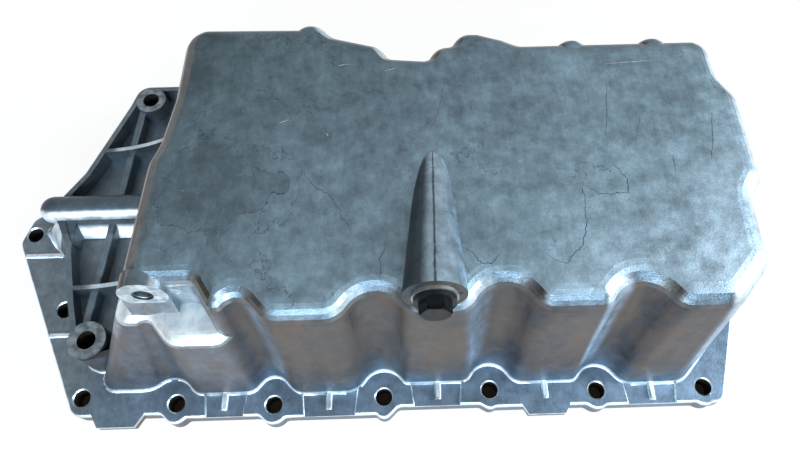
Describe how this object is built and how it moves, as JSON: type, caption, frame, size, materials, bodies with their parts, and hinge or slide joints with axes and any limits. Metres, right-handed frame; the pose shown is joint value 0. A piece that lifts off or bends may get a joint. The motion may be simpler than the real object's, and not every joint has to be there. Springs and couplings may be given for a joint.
{
  "type": "engine oil pan",
  "caption": "Die-cast aluminium engine oil pan with a fluted sump, bolt flange, ribbed shelf for the gearbox, side port and screw-out drain plug.",
  "frame": {"origin": "on the joint face, under the middle of the casting's box", "axes": "+Z from the joint face to the sump bottom, +X along the engine away from the gearbox end, -Y to the drain side"},
  "size_m": [0.456, 0.2284, 0.1427],
  "materials": {
    "cast_aluminium": "as-cast, stained by oil",
    "black_steel": "blackened, dusty",
    "washer_metal": "dull, turned"
  },
  "bodies": {
    "pan": {"oil_pan": "cast_aluminium"},
    "washer": {"sealing_washer": "washer_metal"},
    "plug": {"drain_plug": "black_steel"}
  },
  "joints": [
    {"name": "plug_travel", "type": "slide", "parent": "pan", "child": "washer", "axis": [0, -0.9966, 0.0819], "range_m": [0, 0.014]},
    {"name": "plug_turn", "type": "hinge", "parent": "washer", "child": "plug", "pos_m": [0.03388, -0.08181, 0.128], "axis": [0, -0.9966, 0.0819], "range_deg": [0, 3372]}
  ],
  "couplings": [
    {"joint": "plug_turn", "follows": "plug_travel", "rad_per_m": 4188.8}
  ]
}
